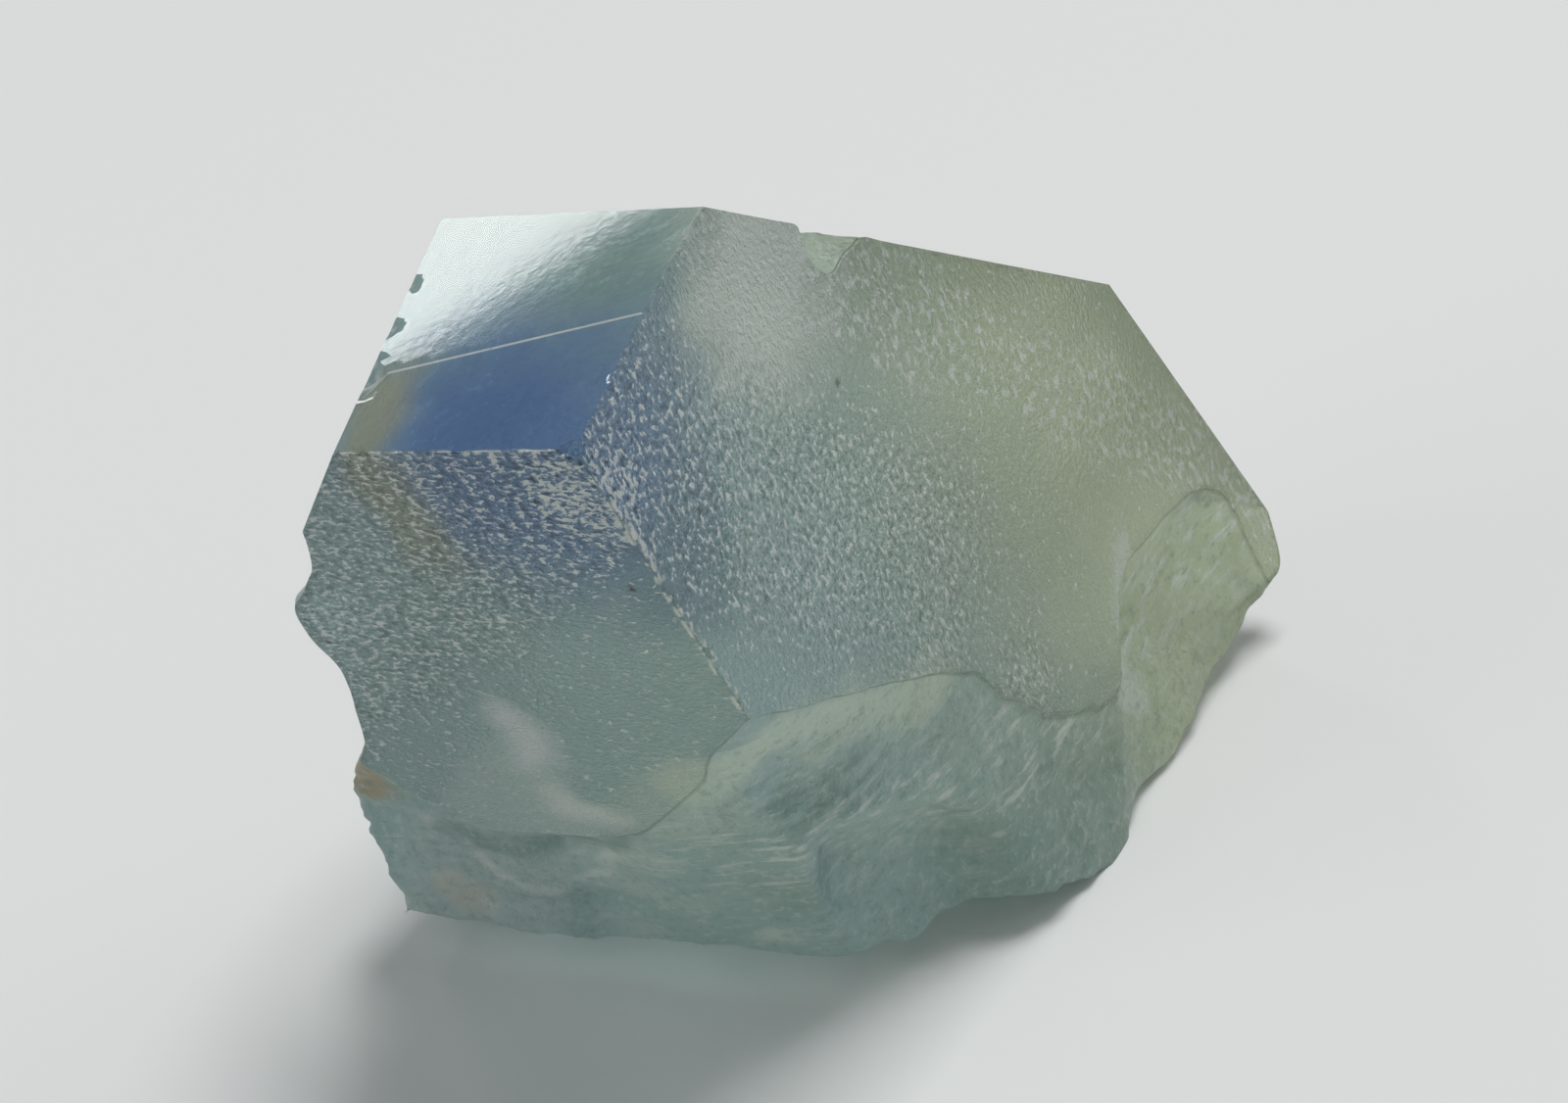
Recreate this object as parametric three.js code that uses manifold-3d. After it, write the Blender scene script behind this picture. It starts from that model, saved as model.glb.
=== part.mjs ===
// Fluorite crystal: the broken-off corner of one large cube, resting on a break.
// Lengths are millimetres and angles are degrees. The stone is shaped in the axes of its own cube, with the
// cube corner at the origin: +X is the grown front face, +Y the grown right face and +Z the grown top face.
// Every other surface is a break. At the end the stone is turned to the way it rests, with +Z up.
import * as THREE from "three";
import { ImprovedNoise } from "three/addons/math/ImprovedNoise.js";
import { mergeVertices } from "three/addons/utils/BufferGeometryUtils.js";
import Module from "manifold-3d";

// Driving dimensions
const CORNER_HEIGHT = 47.5; // the cube corner above the floor
const TOP_LENGTH = 16.3; // top face, from the corner back to the roof
const TOP_WIDTH = 14.6; // top face, from the corner left to the bevel
const REAR_DEPTH = 43.2; // from the front face back to the top of the rear face
const LEDGE_DROP = 20.3; // from the corner down the front ridge to the ledge
const SHELF_DROP = 30.8; // from the top face down to the shelf under the front face
const FOOT_WIDTH = 31.5; // front face, from the ridge left to the foot
const FOOT_DROP = 38; // the foot below the top face

// How the stone rests: turned about Z, then about Y, then about X
const REST = { yaw: -111, pitch: 16.9, roll: 18.8 };

// The forms of each surface. A pair of numbers is a range that the form fades over, `at` is a place on the
// surface's own plane, and heights and depths are measured from that plane.
const TOP_FACET = { right: 9, left: 5.2, tilt: 3.5 };
const ROOF = {
  fall: 52,
  calmEdge: [1, 9],
  hump: { height: 0.3, at: [-3, 13.5], radius: 6 },
  dish: { height: -2.2, at: [-17, 26], radius: 15 },
  lumps: { height: 0.8, size: 7, layer: 1.5 },
};
const REAR_LEAN = 8.6;
const BEVEL = { fall: 48, turn: 3.4, drop: 5.7 };
const LEFT = {
  sweep: 5,
  knob: { height: 2.2, at: [8.5, -1], radius: 4.6 },
  foot: { height: 2.4, over: [18, 26], gone: [27, 37] },
  dish: { height: -2.5, at: [24, -28], radius: 20 },
  lumps: { height: 0.8, size: 6, layer: 3.5 },
};
const LEDGE = {
  depth: 1.4,
  run: 2.4,
  slopeRight: 1.32,
  slopeLeft: 1.1,
  fadeRight: [5, 15],
  fadeLeft: [0, 5],
  leaveLeft: [3.5, 6],
  clearRight: 0.06,
  clearLeft: 4,
};
const FAN = { start: -0.3, fall: 0.31, turn: 0.66 };
const HOLLOW = {
  depth: 4.6,
  knobDepth: 0.8,
  from: 9,
  lean: 0.45,
  run: 12,
  knobOver: [4, 9.5],
  fadeLeft: [0, 6],
  clear: 1,
};
const SHELF = {
  depth: 1.3,
  run: 0.9,
  roughness: 0.5,
  fall: 0.09,
  footRise: -0.05,
  over: [8, 11],
  climb: 1.5,
  climbFrom: 15.5,
  footOver: [12, 17],
  lip: { height: 0.6, at: [-14, SHELF_DROP + 5], radius: 4.5 },
};
const HACKLES = { height: 0.6, size: 9, layer: 5.5, squeeze: 2.2, slope: 1.2, lean: 0.6 };
const BLUNT_RIDGE = { width: 3.5, over: [0, 11] };
const CREASE_ROUNDING = 0.8;
const RIGHT = {
  wall: 27.4,
  wallWidth: 2,
  wallBend: { down: 50, slopeAbove: 0.9, slopeBelow: 0.7 },
  lobeEdge: { down: 44.5, from: 32, slope: 0.4, width: 5 },
  depth: 1.9,
  rim: [38, 47],
  clear: 0.4,
  lumps: { height: 0.5, size: 4.5, layer: 7.5 },
};
const UNDER = {
  contact: -26,
  slopeLeft: 0.26,
  slopeRight: 0.4,
  slopeOver: [17, 22],
  tip: { height: 1.4, at: [11.2, -12.5], radius: 5 },
  lobeFrom: 30,
  lobeSlope: 0.26,
  lobeCurve: 0.02,
  settle: -0.6,
  pocket: { height: 2.4, at: [33, -31], radius: 4.5 },
  lumps: { height: 0.6, size: 5, layer: 9.5 },
};
const BACK = {
  place: [13, 43, -20],
  facing: [-0.5, 0.85, 0.15],
  shell: { height: -3, at: [-6, 6], radius: 26 },
  ripple: { height: 0.3, spacing: 6.5, at: [16, 14], waver: 2.5 },
  lumps: { height: 1, size: 8, layer: 11.5 },
};
const REAR_FOOT = {
  place: [28, 51, -47.5],
  facing: [0.18, 0.97, -0.15],
  lumps: { height: 0.7, size: 5, layer: 13.5 },
};
const CHIPS = {
  detail: 3,
  lumps: { height: 0.5, size: 0.8 },
  corner: { radius: 2.4, depth: 0.8 },
  notch: { back: 8.2, radius: 3, depth: 2.1 },
  left: [
    { back: 5.2, radius: 1.8, depth: 0.7 },
    { back: 8.6, radius: 1.6, depth: 0.45 },
    { back: 12, radius: 1.4, depth: 0.4 },
  ],
};

const STONE = { color: 0x8a9c96, roughness: 0.35, metalness: 0 };

// Grids of the rough surfaces, and sizes that only have to be large or small enough
const FINE_CELL = 0.9;
const MIDDLE_CELL = 1.4;
const COARSE_CELL = 2.2;
const CUTTER_DEPTH = 60;
const REACH = 120;
const CUBE = [60, 45, 80];
const SAME_PLACE = 1e-4;

const wasm = await Module();
wasm.setup();
const noise = new ImprovedNoise();
const { degToRad, smoothstep, lerp } = THREE.MathUtils;
const vector = (x, y, z) => new THREE.Vector3(x, y, z);
const sine = (angle) => Math.sin(degToRad(angle));
const cosine = (angle) => Math.cos(degToRad(angle));
const tangent = (angle) => Math.tan(degToRad(angle));
const ramp = (value, [from, to]) => smoothstep(value, from, to);

// The way the stone rests, and directions and places in the room seen from the cube
const rest = new THREE.Quaternion().setFromEuler(
  new THREE.Euler(degToRad(REST.roll), degToRad(REST.pitch), degToRad(REST.yaw), "ZYX"),
);
const inCube = (x, y, z) => vector(x, y, z).applyQuaternion(rest.clone().invert());
const UP = inCube(0, 0, 1);
const DOWN = inCube(0, 0, -1);
const RIGHTWARD = inCube(1, 0, 0);
const FLOOR_PLACE = inCube(0, 0, -CORNER_HEIGHT);

// Smooth lumps, `size` across
function lumps(u, v, { height, size, layer }) {
  return height * noise.noise(u / size, v / size, layer);
}

// A round swelling, or a dish where its height is negative
function swelling(u, v, { height, at, radius }) {
  const away = Math.hypot(u - at[0], v - at[1]);
  return height * (1 - smoothstep(away, 0, radius));
}

// The larger of two depths, with the crease between them rounded
function deeper(a, b) {
  const blend = Math.max(0, 1 - Math.abs(a - b) / CREASE_ROUNDING);
  return Math.max(a, b) + (blend * blend * CREASE_ROUNDING) / 4;
}

function solidOf(geometry) {
  geometry.deleteAttribute("normal");
  geometry.deleteAttribute("uv");
  const closed = mergeVertices(geometry, SAME_PLACE);
  return new wasm.Manifold(
    new wasm.Mesh({
      numProp: 3,
      vertProperties: new Float32Array(closed.getAttribute("position").array),
      triVerts: new Uint32Array(closed.index.array),
    }),
  );
}

function geometryOf(solid) {
  const mesh = solid.getMesh();
  const geometry = new THREE.BufferGeometry();
  geometry.setAttribute("position", new THREE.BufferAttribute(mesh.vertProperties, 3));
  geometry.setIndex(new THREE.BufferAttribute(mesh.triVerts, 1));
  geometry.computeVertexNormals();
  return geometry;
}

// What a break takes away: all that lies in front of a surface through `point` that looks along `normal`.
// The surface stands `relief(u, v)` proud of its plane, with u along `along` and v at right angles to it.
function broken({ point, normal, along, u, v, cell, relief }) {
  const [uLow, uHigh] = u;
  const [vLow, vHigh] = v;
  const columns = Math.ceil((uHigh - uLow) / cell);
  const rows = Math.ceil((vHigh - vLow) / cell);
  const block = new THREE.BoxGeometry(uHigh - uLow, vHigh - vLow, 2, columns, rows, 1);
  block.translate((uLow + uHigh) / 2, (vLow + vHigh) / 2, 0);
  const places = block.getAttribute("position");
  for (let i = 0; i < places.count; i += 1) {
    const inner = places.getZ(i) < 0;
    places.setZ(i, inner ? relief(places.getX(i), places.getY(i)) : CUTTER_DEPTH);
  }
  const outward = normal.clone().normalize();
  const sideways = along.clone().addScaledVector(outward, -along.dot(outward)).normalize();
  const upward = vector(0, 0, 0).crossVectors(outward, sideways);
  block.applyMatrix4(new THREE.Matrix4().makeBasis(sideways, upward, outward).setPosition(point));
  return solidOf(block);
}

// What a flat face takes away
function cleft(point, normal) {
  const along = Math.abs(normal.z) < Math.abs(normal.x) ? vector(0, 0, 1) : vector(1, 0, 0);
  const span = [-REACH, REACH];
  return broken({ point, normal, along, u: span, v: span, cell: 2 * REACH, relief: () => 0 });
}

// The grown cube, larger than what is left of it
function grownCube() {
  const [x, y, z] = CUBE;
  const cube = new THREE.BoxGeometry(x, y, z);
  cube.translate(-x / 2, -y / 2, -z / 2);
  return solidOf(cube);
}

// Behind a thin growth line the top face falls away a little
function topFacet() {
  const run = vector(TOP_FACET.right - TOP_FACET.left, -TOP_WIDTH, 0).normalize();
  const fall = vector(run.y, -run.x, 0).multiplyScalar(sine(TOP_FACET.tilt));
  return cleft(vector(-TOP_FACET.right, 0, 0), fall.setZ(cosine(TOP_FACET.tilt)));
}

// The roof behind the top face is nearly flat along its edges
function roof() {
  return broken({
    point: vector(-TOP_LENGTH, 0, 0),
    normal: vector(-sine(ROOF.fall), 0, cosine(ROOF.fall)),
    along: vector(0, 1, 0),
    u: [-40, 4],
    v: [-12, 66],
    cell: COARSE_CELL,
    relief: (u, v) => {
      const inside = ramp(-u, ROOF.calmEdge) * ramp(v, ROOF.calmEdge);
      const worn = swelling(u, v, ROOF.dish) + lumps(u, v, ROOF.lumps);
      return swelling(u, v, ROOF.hump) + inside * worn;
    },
  });
}

// A point on the edge between the roof and the right face
function roofEdge(behindTop) {
  return vector(-TOP_LENGTH - behindTop, 0, -behindTop * tangent(ROOF.fall));
}

function rearFace() {
  const normal = vector(-cosine(REAR_LEAN), 0, sine(REAR_LEAN));
  return cleft(roofEdge(REAR_DEPTH - TOP_LENGTH), normal);
}

// A point on the left edge of the top face
function topLeftEdge(back) {
  return vector(-back, -TOP_WIDTH - back * sine(BEVEL.turn), 0);
}

function leftBevel() {
  const outward = sine(BEVEL.fall);
  const normal = vector(outward * sine(BEVEL.turn), -outward, cosine(BEVEL.fall));
  return cleft(topLeftEdge(0), normal);
}

// The rough left side flares out from the bevel to the foot
function leftSide() {
  const start = vector(0, -TOP_WIDTH - BEVEL.drop / tangent(BEVEL.fall), -BEVEL.drop);
  const down = vector(0, -FOOT_WIDTH, -FOOT_DROP).sub(start).normalize();
  const normal = vector(0, down.z, -down.y).multiplyScalar(cosine(LEFT.sweep)).setX(-sine(LEFT.sweep));
  return broken({
    point: start,
    normal,
    along: down,
    u: [-14, 58],
    v: [-60, 6],
    cell: COARSE_CELL,
    relief: (u, v) => {
      const foot = LEFT.foot.height * (ramp(u, LEFT.foot.over) - ramp(u, LEFT.foot.gone));
      return foot + swelling(u, v, LEFT.knob) + swelling(u, v, LEFT.dish) + lumps(u, v, LEFT.lumps);
    },
  });
}

// The upper edge of the front break, as a drop below the top face. From the ridge it runs right along the
// ledge, and left down to a level shelf that climbs at its far end.
function frontEdge(across) {
  if (across > 0) {
    return LEDGE_DROP + LEDGE.slopeRight * across;
  }
  const shelf = SHELF_DROP - SHELF.climb * Math.max(0, -across - SHELF.climbFrom);
  return Math.min(LEDGE_DROP - LEDGE.slopeLeft * across, shelf);
}

// Wavy ridges that lean with the ledge
function hackles(across, down) {
  const alongBand = across + HACKLES.lean * down;
  const acrossBand = HACKLES.squeeze * (down - HACKLES.slope * across);
  return lumps(alongBand, acrossBand, HACKLES);
}

// How deep the ledge lies below the grown faces. It fades out on both sides and leaves the stone on the left.
function ledgeDepth(across, below) {
  const share = (1 - ramp(across, LEDGE.fadeRight)) * (1 - ramp(-across, LEDGE.fadeLeft));
  const outside = lerp(LEDGE.clearRight, LEDGE.clearLeft, ramp(-across, LEDGE.leaveLeft));
  return LEDGE.depth * share * Math.min(1 - Math.exp(-below / LEDGE.run), below) - outside;
}

// A hollow low on the front, with a knob standing in its right side
function hollowDepth(across, below, rough) {
  const deepest = lerp(HOLLOW.depth, HOLLOW.knobDepth, ramp(across, HOLLOW.knobOver)) + rough;
  const start = HOLLOW.from - HOLLOW.lean * across;
  const share = ramp(below, [start, start + HOLLOW.run]) * (1 - ramp(-across, HOLLOW.fadeLeft));
  return lerp(-HOLLOW.clear, deepest, share);
}

// A shelf with a lip at the lower left
function shelfDepth(across, down, below, rough) {
  const fall = lerp(SHELF.fall, SHELF.footRise, ramp(-across, SHELF.footOver));
  const floor = SHELF.depth * (1 - Math.exp(-below / SHELF.run)) + fall * below;
  return Math.max(-HOLLOW.clear, floor + SHELF.roughness * rough - swelling(across, down, SHELF.lip));
}

// How far the front break lies behind the line of the front ridge, which is blunt below the ledge. A flat
// fan-shaped facet cuts the left of the ledge.
function frontBreakDepth(across, down) {
  const below = down - frontEdge(across);
  const rough = hackles(across, down);
  const ridge = Math.hypot(across, BLUNT_RIDGE.width * ramp(below, BLUNT_RIDGE.over));
  const ledge = ridge + Math.SQRT2 * ledgeDepth(across, below);
  const hollow = ridge + Math.SQRT2 * hollowDepth(across, below, rough);
  const fan = FAN.start + FAN.fall * (down - LEDGE_DROP) - FAN.turn * across;
  const shelf = Math.abs(across) + Math.SQRT2 * shelfDepth(across, down, below, rough);
  const right = deeper(deeper(ledge, hollow), fan);
  return lerp(right, shelf, ramp(-across, SHELF.over));
}

function frontBreak() {
  return broken({
    point: vector(0, 0, 0),
    normal: vector(1, 1, 0),
    along: vector(-1, 1, 0),
    u: [-27, 21],
    v: [-70, -16],
    cell: FINE_CELL,
    relief: (u, v) => -frontBreakDepth(u, -v),
  });
}

// The break low on the right lies behind a steep wall and under the lobe
function rightBreak() {
  return broken({
    point: vector(0, 0, 0),
    normal: vector(0, 1, 0),
    along: vector(-1, 0, 0),
    u: [24, 56],
    v: [-76, -38],
    cell: MIDDLE_CELL,
    relief: (u, v) => {
      const { down, slopeAbove, slopeBelow } = RIGHT.wallBend;
      const wall = RIGHT.wall + (v + down) * (v + down > 0 ? slopeAbove : slopeBelow);
      const pastWall = smoothstep(u, wall, wall + RIGHT.wallWidth);
      const lobeEdge = RIGHT.lobeEdge.down + RIGHT.lobeEdge.slope * (u - RIGHT.lobeEdge.from);
      const underLobe = smoothstep(-v, lobeEdge, lobeEdge + RIGHT.lobeEdge.width);
      const share = pastWall * underLobe * (1 - ramp(u, RIGHT.rim));
      return RIGHT.clear - share * (RIGHT.depth + lumps(u, v, RIGHT.lumps));
    },
  });
}

// The unseen break across the back left is a shell with faint ripples
function backBreak() {
  return broken({
    point: inCube(...BACK.place),
    normal: inCube(...BACK.facing),
    along: UP,
    u: [-36, 34],
    v: [-46, 46],
    cell: COARSE_CELL,
    relief: (u, v) => {
      const rough = lumps(u, v, BACK.lumps);
      const away = Math.hypot(u - BACK.ripple.at[0], v - BACK.ripple.at[1]) + BACK.ripple.waver * rough;
      const ripple = BACK.ripple.height * Math.sin((2 * Math.PI * away) / BACK.ripple.spacing);
      return swelling(u, v, BACK.shell) + ripple + rough;
    },
  });
}

function rearFoot() {
  return broken({
    point: inCube(...REAR_FOOT.place),
    normal: inCube(...REAR_FOOT.facing),
    along: RIGHTWARD,
    u: [-40, 20],
    v: [-14, 24],
    cell: COARSE_CELL,
    relief: (u, v) => lumps(u, v, REAR_FOOT.lumps),
  });
}

// The flat that the stone rests on
function restingFlat() {
  return cleft(FLOOR_PLACE, DOWN);
}

// The underside rises from the floor towards the front and under the right lobe
function underside() {
  return broken({
    point: FLOOR_PLACE,
    normal: DOWN,
    along: RIGHTWARD,
    u: [-24, 48],
    v: [-64, 6],
    cell: MIDDLE_CELL,
    relief: (u, v) => {
      const slope = lerp(UNDER.slopeLeft, UNDER.slopeRight, ramp(u, UNDER.slopeOver));
      const front = slope * (v - UNDER.contact) - swelling(u, v, UNDER.tip);
      const past = Math.max(0, u - UNDER.lobeFrom);
      const lobe = UNDER.settle + UNDER.lobeSlope * past + UNDER.lobeCurve * past * past;
      return -Math.max(front, lobe + swelling(u, v, UNDER.pocket)) - lumps(u, v, UNDER.lumps);
    },
  });
}

// The uneven hollow scar of a chip knocked out of an edge
function chip(point, outward, { radius, depth }) {
  const ball = new THREE.IcosahedronGeometry(1, CHIPS.detail);
  const places = ball.getAttribute("position");
  const place = vector(0, 0, 0);
  for (let i = 0; i < places.count; i += 1) {
    place.fromBufferAttribute(places, i);
    const uneven = 1 + lumps(place.x, place.y, { ...CHIPS.lumps, layer: place.z + radius });
    places.setXYZ(i, ...place.multiplyScalar(radius * uneven).toArray());
  }
  const middle = point.clone().addScaledVector(outward.clone().normalize(), radius - depth);
  ball.translate(middle.x, middle.y, middle.z);
  return solidOf(ball);
}

function chips() {
  const offRoof = vector(-sine(ROOF.fall), 1, cosine(ROOF.fall));
  const offLeft = vector(0, -sine(BEVEL.fall), 1 + cosine(BEVEL.fall));
  return [
    chip(vector(0, 0, 0), vector(1, 1, 1), CHIPS.corner),
    chip(roofEdge(CHIPS.notch.back), offRoof, CHIPS.notch),
    ...CHIPS.left.map((scar) => chip(topLeftEdge(scar.back), offLeft, scar)),
  ];
}

function crystal() {
  const cuts = [
    topFacet(),
    roof(),
    rearFace(),
    leftBevel(),
    leftSide(),
    frontBreak(),
    rightBreak(),
    backBreak(),
    rearFoot(),
    restingFlat(),
    underside(),
    ...chips(),
  ];
  const stone = cuts.reduce((left, cut) => left.subtract(cut), grownCube());
  const mesh = new THREE.Mesh(geometryOf(stone), new THREE.MeshStandardMaterial(STONE));
  mesh.name = "fluorite_crystal";
  mesh.quaternion.copy(rest);
  return mesh;
}

// The part's origin is the middle of its underside
function standing(mesh) {
  const part = new THREE.Group();
  part.add(mesh);
  const box = new THREE.Box3().setFromObject(part, true);
  const middle = box.getCenter(vector(0, 0, 0));
  mesh.position.set(-middle.x, -middle.y, -box.min.z);
  return part;
}

export default standing(crystal());
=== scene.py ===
"""The looks of the fluorite crystal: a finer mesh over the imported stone, its material, and a plain studio.

Lengths in the scene are metres. The stone is worked on in millimetres in the axes of its own cube, with the
cube corner at the origin: +X is the grown front face, +Y the grown right face and +Z the grown top face.
"""

import math

import bpy
import numpy as np
from mathutils import Euler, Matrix, Quaternion, Vector, noise
from mathutils.geometry import delaunay_2d_cdt
from mathutils.kdtree import KDTree


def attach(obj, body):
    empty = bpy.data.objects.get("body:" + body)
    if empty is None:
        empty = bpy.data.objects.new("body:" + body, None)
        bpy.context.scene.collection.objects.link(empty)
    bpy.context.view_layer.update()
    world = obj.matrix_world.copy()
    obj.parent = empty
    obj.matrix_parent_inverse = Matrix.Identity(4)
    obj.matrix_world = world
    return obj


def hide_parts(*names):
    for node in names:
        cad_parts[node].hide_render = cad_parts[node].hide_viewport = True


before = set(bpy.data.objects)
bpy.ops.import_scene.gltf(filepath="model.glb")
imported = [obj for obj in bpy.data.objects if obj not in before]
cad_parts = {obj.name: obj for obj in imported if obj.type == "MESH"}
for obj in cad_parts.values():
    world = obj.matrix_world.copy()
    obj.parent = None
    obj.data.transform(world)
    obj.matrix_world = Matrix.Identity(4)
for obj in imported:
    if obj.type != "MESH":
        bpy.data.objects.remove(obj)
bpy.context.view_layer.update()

# The stone in the room
MM = 0.001
NODE = "fluorite_crystal"
REST_ANGLES = (18.8, 16.9, -111.0)
FRONT, RIGHT, TOP = 0, 1, 2

# The fine mesh
FLAT_AREA = 12.0
SEED_AREA = 0.3
SAME_PLANE = 0.01
EDGE_LENGTH = {"break": 0.55, "outline": 0.4}
GRID_STEP = {"etched": 0.27, "smooth": 0.6}
GRID_MARGIN = 0.6
INSIDE_OUTLINE = 1
TOUCHING = 1e-5
SHORTEST = 1e-12
WELD_DIGITS = 4
SMOOTHING_ROUNDS = 7
SMOOTHING_STEP = 0.5
SHARP_ANGLE = 38.0

# The ledge of the front break runs along the first of these directions
LEDGE = {"along": (-0.87, 0.46, -0.20), "across": (0.18, -0.10, -0.98)}

# Relief added to the fine mesh
BREAK_RELIEF = {"height": 0.22, "size": 2.4, "octaves": 4, "fall": 1.0, "finer": 2.0, "edge": 2.0}
HACKLES = {"height": 0.3, "along": 6.0, "across": 1.1}
ETCH_DEPTH = 0.07
ETCH_SIZE = {FRONT: (1.0, 1.7, 0.75), RIGHT: (0.75, 1.0, 1.7)}
CHIPS = {"least": 0.05, "most": 0.7, "spacing": 1.3, "threshold": 0.1, "shift": 3.7}

# Camera: where the cube corner lies in the picture's own directions, and the lens
VIEW_ELEVATION = 36.0
CORNER_RIGHT = -9.917 * MM
CORNER_UP = 4.841 * MM
CORNER_DISTANCE = 235.0 * MM
LENS = 112.5
SENSOR = 36.0
NEAREST = 0.01

# Material
IOR = 1.434
TRANSMISSION = 0.68
ABSORPTION = {"color": (0.50, 0.74, 0.74, 1.0), "density": 5.0}
ROUGHNESS = {"break": 0.36, "etched": 0.2, "top": 0.045}
BUMP = {"break": 0.6, "etched": 1.0, "top": 0.005, "distance": 0.4 * MM}
BODY = (0.38, 0.54, 0.55)
BLUE = (0.08, 0.17, 0.48)
YELLOW = (0.46, 0.42, 0.24)
OLIVE = (0.58, 0.65, 0.44)
PALE = (0.86, 0.90, 0.90)
PALE_GREEN = (0.78, 0.88, 0.74)
TEAL = (0.22, 0.35, 0.34)
DEEP_TEAL = (0.14, 0.25, 0.24)
SLATE = (0.14, 0.25, 0.34)
LAVENDER = (0.94, 0.96, 1.0)
BROWN = (0.52, 0.37, 0.20)
BEIGE = (0.80, 0.66, 0.56)
# A pale tint painted on as the glow of reflected light
PAINTED_GLOW = (0.96, 1.0, 0.93)
WHITE = (1.0, 1.0, 1.0)
DARK = (0.02, 0.02, 0.02)

# How far behind its plane a grown face begins and is full, in millimetres
FACE_DEPTH = {"etched": (-0.2, -0.1), "top": (-1.6, -0.9)}

# Noise: grains to a millimetre along each cube axis, and the slow noise that makes outlines uneven
GRAIN = {
    "front": (1.0, 2.0, 3.6),
    "right": (3.4, 1.0, 2.0),
    "break": (1.5, 1.5, 1.5),
    "noise": {"detail": 3.0, "roughness": 0.65},
}
COARSE_GRAIN = {"size": (2.0, 1.0, 1.3), "noise": {"detail": 2.0, "roughness": 0.55}}
WOBBLE = {"size": 3.0, "reach": 1.2, "seed": 1}

# Layers of the mesh that the material reads: slow colours with some painted light and shade, and how strong
# the painted glints and the streaks are
COLOR_LAYER = "zones"
GLINT_AND_STREAK_LAYER = "rough"

# Sockets of the mix node for each kind of value: both inputs, and the output
MIX_SOCKETS = {"FLOAT": (2, 3, 0), "VECTOR": (4, 5, 1), "RGBA": (6, 7, 2)}

# Where the etching is rough and its painted glints are dense: directions over the faces, and bands and
# distances in millimetres
ETCHING = {
    "front_down": (0.0, -0.65, 1.0),
    "front_end": (-9.0, -5.0),
    "aside": (-0.87, 0.0, 0.49),
    "ahead": (-0.49, 0.0, -0.87),
    "right_band": (1.0, 9.0, 3.0),
    "right_end": (46.0, 34.0),
    "patch": (-18.7, -0.1, -42.5),
    "patch_fade": (6.0, 2.0),
    "corner": (0.0, -1.5, -3.4),
    "corner_fade": (4.5, 1.5),
    "corner_share": 1.1,
    "lobe_band": (13.5, 4.0, 2.0),
    "lobe_share": 0.8,
}

# Painted glints on the etched faces, drawn as white flecks, and painted shade in the dark gaps between them:
# from which level of the noise they show
PAINTED_GLINTS = {
    "dense_gain": 0.06,
    "coarse_gain": 0.3,
    "levels": (0.75, 0.81),
    "gap_levels": (0.70, 0.58),
    "gap_share": 0.6,
    "lobe_levels": (0.48, 0.66),
}

# Pale streaks along the hackles of the front break, stronger at its ledge as a painted highlight
STREAKS = {
    "along": 2.6,
    "across": 0.8,
    "noise": {"detail": 3.0, "roughness": 0.7},
    "levels": (0.5, 0.68),
    "down": (0.4, -0.4, -1.0),
    "ledge_highlight_band": (37.6, 6.0, 2.0),
    "depth": (-10.0, -4.0),
    "side": (-18.0, -9.0),
    "share": 0.2,
    "ledge_highlight_share": 0.9,
}

# Pale and dark crumbs on the breaks: the levels of the fine noise where they show
CRUMBS = {"pale_levels": (0.54, 0.66), "dark_levels": (0.46, 0.34), "share": 0.35}

# The pale wedge that shows through the front face
VEIL = {
    "apex": (0.0, -17.0, -19.5),
    "left_slope": 0.95,
    "right_slope": 0.35,
    "left_fade": (0.0, 4.0),
    "right_fade": (0.6, -0.8),
    "down_fade": (0.0, 4.0),
    "depth": (-2.5, -1.0),
    "share": 0.4,
}

# The yellow stripe beside the left edge, and how far back the green turns to olive
STRIPE = {
    "middle": -13.2,
    "reach": 2.8,
    "full": 0.6,
    "down": (-13.0, -4.0),
    "back": (-9.0, -3.0),
    "share": 0.7,
}
OLIVE_DEPTH = (-10.0, -34.0)

# Dark specks on the grown faces
SPECKS = {
    "points": [
        (-18.7, 0.0, -15.8),
        (-5.7, 0.0, -17.8),
        (0.0, -2.1, -10.4),
        (-5.0, 0.0, -10.1),
        (0.0, -23.4, -14.8),
    ],
    "full": 0.15,
    "reach": 0.3,
}

# Thin white lines, one of them a painted glint along the chipped upright edge: how far they are full and
# reach, and the level of the coarse noise where they break off
GAP_FADE = 0.1
LINES = [
    {"start": (-9.0, -0.2, 0.0), "end": (-5.2, -14.4, 0.0),
     "full": 0.03, "reach": 0.13, "gaps": 0.3, "share": 0.8},
    {"start": (0.0, -0.5, 0.0), "end": (0.0, -15.0, 0.0),
     "full": 0.03, "reach": 0.14, "gaps": 0.3, "share": 0.9},
    # Painted glint: the chipped upright edge is drawn white for the light its chips catch
    {"start": (0.0, 0.0, -4.0), "end": (0.0, 0.0, -22.0),
     "full": 0.3, "reach": 0.55, "gaps": 0.48, "share": 1.0},
    {"start": (0.0, -14.3, -13.1), "end": (0.0, -10.0, -13.0),
     "full": 0.03, "reach": 0.12, "gaps": 0.1, "share": 0.8},
]
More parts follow.
